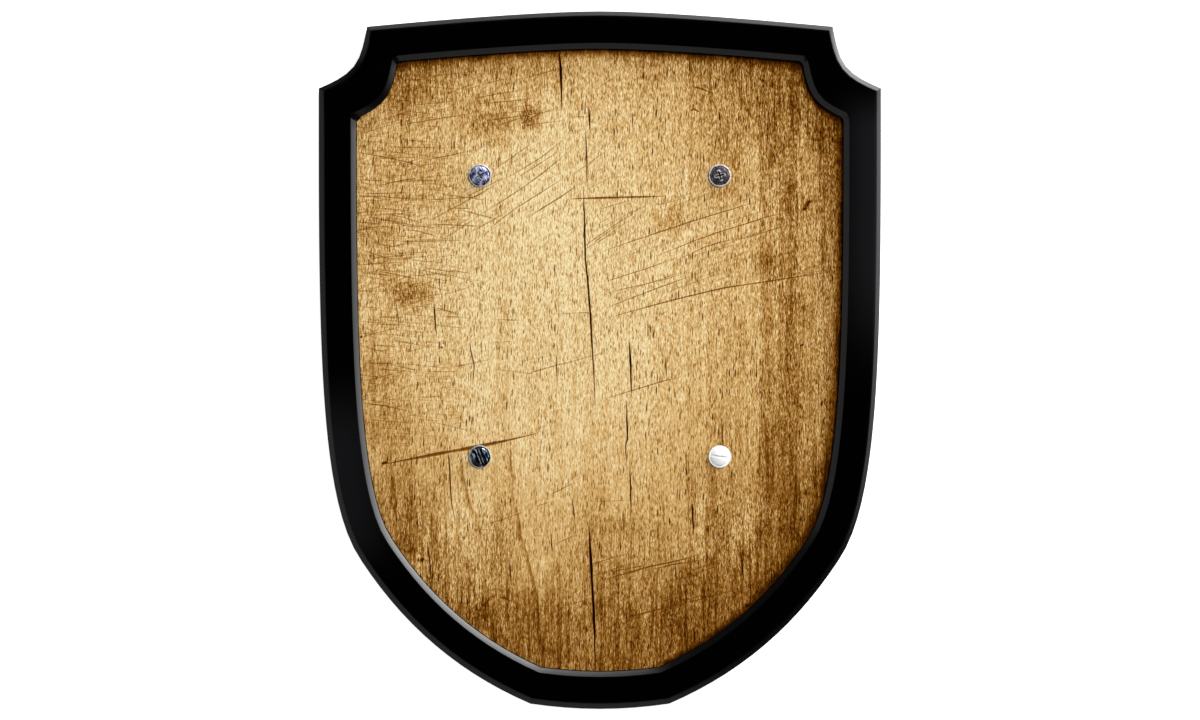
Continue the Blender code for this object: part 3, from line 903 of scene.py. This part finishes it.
def copy_of_node(node, name):
    """A new piece with a copy of a node's mesh, its loose triangles joined into one skin."""
    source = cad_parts[node]
    piece = bpy.data.objects.new(name, source.data.copy())
    bpy.context.scene.collection.objects.link(piece)
    piece.data.materials.clear()
    only(piece)
    bpy.ops.object.mode_set(mode="EDIT")
    bpy.ops.mesh.select_all(action="SELECT")
    bpy.ops.mesh.customdata_custom_splitnormals_clear()
    bpy.ops.mesh.remove_doubles(threshold=0.01 * MM)
    bpy.ops.mesh.normals_make_consistent(inside=False)
    bpy.ops.object.mode_set(mode="OBJECT")
    return piece


def stand_in(piece, node):
    """The piece goes under the root body in its node's place, and the node is hidden."""
    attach(piece, "root")
    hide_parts(node)


def trembled(point, dice):
    """The point, moved aside a little."""
    aside = dice.uniform(-GROOVE_TREMOR, GROOVE_TREMOR)
    along = dice.uniform(-GROOVE_TREMOR, GROOVE_TREMOR)
    return point + Vector((aside, along))


def stroke_points(pixels, dice, step):
    """Places along a stroke through the pixels, a step apart, with a slight tremor."""
    corners = [at_pixel(*pixel) for pixel in pixels]
    points = []
    for start, end in zip(corners, corners[1:]):
        count = max(2, round((end - start).length / step))
        for index in range(count):
            points.append(start.lerp(end, index / count))
    points.append(corners[-1])
    return [trembled(point, dice) for point in points]


def groove_cutter(strokes, dice, steepness):
    """A mesh of blades, one a stroke, which leave pointed grooves with tapered ends in the field."""
    curve = bpy.data.curves.new("grooves", "CURVE")
    curve.dimensions = "3D"
    curve.bevel_depth = 1.0
    curve.bevel_resolution = 0
    curve.use_fill_caps = True
    curve.twist_mode = "Z_UP"
    for width, points in strokes:
        spline = curve.splines.new("POLY")
        spline.points.add(len(points) - 1)
        last = len(points) - 1
        for index, point in enumerate(points):
            share = index / last
            taper = min(1.0, 0.25 + 3.5 * share, 0.25 + 2.2 * (1 - share))
            spline.points[index].co = (point.x, point.y, 0, 1)
            spline.points[index].radius = width / 2 * taper * dice.uniform(0.75, 1.1)
    cutter = bpy.data.objects.new("grooves", curve)
    bpy.context.scene.collection.objects.link(cutter)
    only(cutter)
    bpy.ops.object.convert(target="MESH")
    cutter = bpy.context.object
    cutter.scale.z = steepness
    cutter.location.z = FIELD_Z
    bpy.ops.object.transform_apply(location=True, rotation=True, scale=True)
    bpy.ops.object.mode_set(mode="EDIT")
    bpy.ops.mesh.select_all(action="SELECT")
    bpy.ops.mesh.remove_doubles(threshold=0.002 * MM)
    bpy.ops.mesh.normals_make_consistent(inside=False)
    bpy.ops.object.mode_set(mode="OBJECT")
    return cutter


def carve(piece, strokes, dice, steepness):
    """Cut the strokes' grooves into the piece."""
    cutter = groove_cutter(strokes, dice, steepness)
    apply_modifier(piece, "BOOLEAN", operation="DIFFERENCE", solver="EXACT", use_self=True, object=cutter)
    bpy.data.objects.remove(cutter, do_unlink=True)


def hairline_strokes(dice):
    """Seeded thin strokes for every family of hairlines."""
    strokes = []
    for middle, spread, slope, slope_spread, lengths, count in HAIRLINES.values():
        for _ in range(count):
            centre = at_pixel(
                middle[0] + dice.uniform(-spread[0], spread[0]),
                middle[1] + dice.uniform(-spread[1], spread[1]))
            angle = math.radians(slope + dice.uniform(-slope_spread, slope_spread))
            half = Vector((math.cos(angle), math.sin(angle))) * dice.uniform(*lengths) * MM / 2
            bow = Vector((-half.y, half.x)) * dice.uniform(-0.03, 0.03)
            points = [centre - half, centre - half / 2 + bow, centre + half / 2 + bow, centre + half]
            strokes.append((dice.uniform(*HAIRLINE_WIDTH) * MM, points))
    return strokes


def drawn_strokes(drawn, widening, dice, step):
    """The drawn scratches or cracks, each as its width and the places that it passes."""
    return [(width * widening * MM, stroke_points(pixels, dice, step)) for width, *pixels in drawn.values()]


def beech_field():
    """The wood panel with its cracks, scratches and hairlines cut in."""
    dice = random.Random(41)
    panel = copy_of_node("wood_panel", "beech_field")
    round_notch_corners(panel, (PANEL_BOTTOM, FIELD_Z))
    hairlines = hairline_strokes(dice)
    scratches = drawn_strokes(SCRATCHES, SCRATCH_WIDENING, dice, SCRATCH_STEP)
    cracks = drawn_strokes(CRACKS, CRACK_WIDENING, dice, CRACK_STEP)
    if hairlines:
        carve(panel, hairlines, dice, HAIRLINE_STEEPNESS)
    carve(panel, scratches, dice, SCRATCH_STEEPNESS)
    carve(panel, cracks, dice, CRACK_STEEPNESS)
    only(panel)
    bpy.ops.object.shade_flat()
    panel.data.materials.append(worn_beech())
    stand_in(panel, "wood_panel")
    return panel


def corner_loops(shape, height):
    """The outermost loop of sharp edges that run level at this height, then the others there."""
    level = []
    for edge in shape.edges:
        at_height = all(abs(vert.co.z - height) < 0.02 * MM for vert in edge.verts)
        if at_height and edge.calc_face_angle(0) > math.radians(15):
            level.append(edge)
    outer = []
    ahead = [max(level, key=lambda edge: edge.verts[0].co.x)]
    left = set(level)
    while ahead:
        edge = ahead.pop()
        if edge in left:
            left.remove(edge)
            outer.append(edge)
            ahead.extend(other for vert in edge.verts for other in vert.link_edges)
    return outer, list(left)


def round_notch_corners(piece, heights):
    """Round the upright corners where the field's edge turns into a notch, between these heights."""
    only(piece)
    bpy.ops.object.mode_set(mode="EDIT")
    bpy.ops.mesh.select_mode(type="EDGE")
    bpy.ops.mesh.select_all(action="DESELECT")
    shape = bmesh.from_edit_mesh(piece.data)
    low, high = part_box("wood_panel")
    for edge in shape.edges:
        lower, upper = sorted((vert.co for vert in edge.verts), key=lambda place: place.z)
        aside = (upper - lower).xy.length
        steep = upper.z - lower.z > 1 * MM and aside < 1.6 * (upper.z - lower.z)
        inside = low.x - 1 * MM < lower.x < high.x + 1 * MM and low.y - 1 * MM < lower.y < high.y + 1 * MM
        at_heights = all(
            min(abs(end.z - height) for height in heights) < 0.05 * MM for end in (lower, upper))
        if steep and inside and at_heights and edge.calc_face_angle(0) > math.radians(35):
            edge.select = True
    bmesh.update_edit_mesh(piece.data)
    bpy.ops.mesh.bevel(
        offset=NOTCH_ROUNDING, offset_type="OFFSET", segments=5, affect="EDGES", clamp_overlap=True)
    bpy.ops.object.mode_set(mode="OBJECT")


def round_corners(piece, heights, which, offset, segments):
    """Round the outermost corner loop (0) or the others (1) at these heights."""
    only(piece)
    bpy.ops.object.mode_set(mode="EDIT")
    bpy.ops.mesh.select_mode(type="EDGE")
    bpy.ops.mesh.select_all(action="DESELECT")
    shape = bmesh.from_edit_mesh(piece.data)
    for height in heights:
        for edge in corner_loops(shape, height)[which]:
            edge.select = True
    bmesh.update_edit_mesh(piece.data)
    bpy.ops.mesh.bevel(
        offset=offset, offset_type="OFFSET", segments=segments, affect="EDGES", clamp_overlap=True)
    bpy.ops.object.mode_set(mode="OBJECT")


def raise_bevel_foot(piece, height, which, lift):
    """Lift the outermost loop at this height (0) or the other (1), which leans its bevel back."""
    only(piece)
    bpy.ops.object.mode_set(mode="EDIT")
    bpy.ops.mesh.select_mode(type="VERT")
    bpy.ops.mesh.select_all(action="DESELECT")
    shape = bmesh.from_edit_mesh(piece.data)
    for edge in corner_loops(shape, height)[which]:
        for vert in edge.verts:
            vert.select = True
    bmesh.update_edit_mesh(piece.data)
    bpy.ops.transform.translate(value=(0, 0, lift))
    bpy.ops.object.mode_set(mode="OBJECT")


def lacquered_frame():
    """The black shield: its outer edge rounded well over, its inner edge and its back slightly."""
    shield = copy_of_node("black_frame", "lacquered_frame")
    bevel_foot = BORDER_TOP - BORDER_BEVEL
    round_notch_corners(shield, (BACK_THICKNESS, bevel_foot, BORDER_TOP))
    raise_bevel_foot(shield, bevel_foot, 1, INNER_BEVEL_LIFT)
    raise_bevel_foot(shield, bevel_foot, 0, OUTER_BEVEL_LIFT)
    round_corners(shield, (BORDER_TOP,), 1, INNER_TOP_ROUNDING, 3)
    round_corners(shield, (BORDER_TOP,), 0, OUTER_TOP_ROUNDING, 4)
    round_corners(shield, (bevel_foot + INNER_BEVEL_LIFT,), 0, BEVEL_FOOT_ROUNDING, 1)
    round_corners(shield, (bevel_foot + OUTER_BEVEL_LIFT,), 0, BEVEL_FOOT_ROUNDING, 1)
    round_corners(shield, (0.0, BACK_BEVEL), 0, BACK_ROUNDING, 2)
    only(shield)
    bpy.ops.object.shade_smooth_by_angle(angle=math.radians(26))
    apply_modifier(shield, "WEIGHTED_NORMAL", keep_sharp=True, weight=90)
    shield.data.materials.append(black_lacquer())
    stand_in(shield, "black_frame")
    return shield


def turned_solid(name, middle, steps):
    """A closed round solid about the middle, through steps of radius and height from the bottom up."""
    radius, height = steps[0]
    deselect_all()
    bpy.ops.mesh.primitive_circle_add(
        vertices=64, radius=radius, fill_type="NGON", location=(middle.x, middle.y, height))
    solid = bpy.context.object
    solid.name = name
    bpy.ops.object.transform_apply(location=True, rotation=True, scale=True)
    bpy.ops.object.mode_set(mode="EDIT")
    bpy.ops.mesh.select_mode(type="FACE")
    bpy.ops.mesh.select_all(action="SELECT")
    for next_radius, next_height in steps[1:]:
        bpy.ops.mesh.extrude_region_move(TRANSFORM_OT_translate={"value": (0, 0, next_height - height)})
        share = next_radius / radius
        bpy.ops.transform.resize(
            value=(share, share, 1), center_override=(middle.x, middle.y, next_height))
        radius, height = next_radius, next_height
    bpy.ops.mesh.select_all(action="SELECT")
    bpy.ops.mesh.normals_make_consistent(inside=False)
    bpy.ops.object.mode_set(mode="OBJECT")
    return solid


def recess_blade(middle, length, width, depth, turn, taper):
    """A blade that presses one straight recess, narrower at its tip by the taper."""
    top = SCREW_SEAT + HEAD_HEIGHT
    deselect_all()
    bpy.ops.mesh.primitive_cube_add(size=1, location=(middle.x, middle.y, top))
    blade = bpy.context.object
    bpy.ops.object.transform_apply(location=True, rotation=True, scale=True)
    bpy.ops.object.mode_set(mode="EDIT")
    bpy.ops.transform.resize(
        value=(length, width, 2 * depth), center_override=(middle.x, middle.y, top))
    bpy.ops.mesh.select_all(action="DESELECT")
    shape = bmesh.from_edit_mesh(blade.data)
    for face in shape.faces:
        face.select = face.normal.z < -0.9
    bmesh.update_edit_mesh(blade.data)
    bpy.ops.transform.resize(
        value=(taper, (1 + taper) / 2, 1), center_override=(middle.x, middle.y, top - depth))
    bpy.ops.mesh.select_all(action="SELECT")
    bpy.ops.transform.rotate(
        value=-math.radians(turn), orient_axis="Z", center_override=(middle.x, middle.y, top))
    bpy.ops.object.mode_set(mode="OBJECT")
    return blade


def finished_screw(node, look):
    """One screw: a low dome in a thin washer rim, its recess pressed in and every edge eased."""
    low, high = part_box(node)
    middle = (low + high) / 2
    steps = [
        (POINT_RADIUS * MM, SCREW_POINT),
        (SHANK_RADIUS * MM, SCREW_POINT + POINT_LENGTH * MM),
        (SHANK_RADIUS * MM, SCREW_SEAT),
        (HEAD_STEPS[0][0] * MM, SCREW_SEAT),
    ]
    steps += [(radius * MM, SCREW_SEAT + height * MM) for radius, height in HEAD_STEPS]
    screw = turned_solid(node + "_finished", middle, steps)
    length, width, depth = (size * MM for size in look["recess"])
    turns = (look["turn"], look["turn"] + 90) if look["cross"] else (look["turn"],)
    taper = 0.45 if look["cross"] else 1.0
    for turn in turns:
        blade = recess_blade(middle, length, width, depth, turn, taper)
        apply_modifier(screw, "BOOLEAN", operation="DIFFERENCE", solver="EXACT", object=blade)
        bpy.data.objects.remove(blade, do_unlink=True)
    apply_modifier(
        screw, "BEVEL", width=SCREW_EASING * MM, segments=2,
        limit_method="ANGLE", angle_limit=math.radians(40))
    only(screw)
    bpy.ops.object.shade_smooth_by_angle(angle=math.radians(38))
    screw.data.materials.append(screw_metal(look, middle))
    stand_in(screw, node)
    return screw


def key_light():
    """A round soft light at the upper right that looks at the shield."""
    lamp = bpy.data.lights.new("key", "AREA")
    lamp.shape = "DISK"
    lamp.size = KEY_SIZE
    lamp.energy = KEY_POWER
    light = bpy.data.objects.new("key", lamp)
    bpy.context.scene.collection.objects.link(light)
    level = math.cos(KEY_ELEVATION) * KEY_DISTANCE
    light.location = (
        math.cos(KEY_AZIMUTH) * level,
        math.sin(KEY_AZIMUTH) * level,
        math.sin(KEY_ELEVATION) * KEY_DISTANCE)
    light.rotation_euler = light.location.to_track_quat("Z", "Y").to_euler()
    light.visible_glossy = False
    return light


def studio_sky():
    """A plain studio: dark overhead, brightest low at the upper right, pale low at the lower left."""
    world = bpy.data.worlds.new("studio")
    world.use_nodes = True
    bpy.context.scene.world = world
    tree = world.node_tree
    nodes = tree.nodes
    nodes.clear()

    def maths(operation, first, second):
        node = nodes.new("ShaderNodeMath")
        node.operation = operation
        for socket, value in zip(node.inputs, (first, second)):
            if isinstance(value, bpy.types.NodeSocket):
                tree.links.new(value, socket)
            else:
                socket.default_value = value
        return node.outputs[0]

    def fade(value, low, high):
        node = nodes.new("ShaderNodeMapRange")
        node.interpolation_type = "SMOOTHSTEP"
        tree.links.new(value, node.inputs["Value"])
        node.inputs["From Min"].default_value = low
        node.inputs["From Max"].default_value = high
        return node.outputs["Result"]

    way = nodes.new("ShaderNodeTexCoord").outputs["Generated"]
    axes = nodes.new("ShaderNodeSeparateXYZ")
    tree.links.new(way, axes.inputs[0])
    east, north, up = axes.outputs
    toward = maths("MULTIPLY", maths("ADD", east, north), math.sqrt(0.5))
    lobe = maths("POWER", maths("MAXIMUM", toward, 0.0), LOBE_NARROWNESS)
    low_lobe = maths("MULTIPLY", maths("MULTIPLY", lobe, LOBE_STRENGTH), fade(up, 0.50, 0.12))
    far_side = maths("MULTIPLY", fade(toward, -0.1, -0.5), FAR_SIDE_STRENGTH)
    pale = maths("MULTIPLY", maths("ADD", far_side, 0.05), fade(up, 0.90, 0.66))
    strength = maths("ADD", low_lobe, pale)
    background = nodes.new("ShaderNodeBackground")
    tree.links.new(strength, background.inputs["Strength"])
    output = nodes.new("ShaderNodeOutputWorld")
    tree.links.new(background.outputs[0], output.inputs["Surface"])


def pale_floor():
    """A plain white floor with a faint soft tooth."""
    deselect_all()
    bpy.ops.mesh.primitive_circle_add(vertices=96, radius=FLOOR_RADIUS, fill_type="NGON")
    floor = bpy.context.object
    floor.name = "floor"
    finish = Finish("pale_floor")
    tooth = finish.noise((3, 3, 3), detail=2)
    finish.set_shader(
        Base_Color=(0.93, 0.93, 0.93, 1),
        Roughness=finish.rise(tooth, 0.3, 0.7, 0.7, 0.85),
        Specular_IOR_Level=0.1,
        Emission_Color=(1, 1, 1, 1),
        Emission_Strength=0.93)
    floor.data.materials.append(finish.material)


def overhead_camera():
    """A long lens straight above the shield, with the photograph's framing."""
    lens = bpy.data.cameras.new("overhead")
    lens.lens = 135
    camera = bpy.data.objects.new("overhead", lens)
    bpy.context.scene.collection.objects.link(camera)
    width = PHOTO_WIDTH * PIXEL
    distance = width * lens.lens / lens.sensor_width
    middle = at_pixel(PHOTO_WIDTH / 2, 360)
    camera.location = (middle.x, middle.y, BORDER_TOP + distance)
    bpy.context.scene.camera = camera
    bpy.context.scene.view_settings.view_transform = "Standard"


studio_sky()
key_light()
pale_floor()
overhead_camera()
lacquered_frame()
beech_field()
for node, look in SCREWS.items():
    finished_screw(node, look)
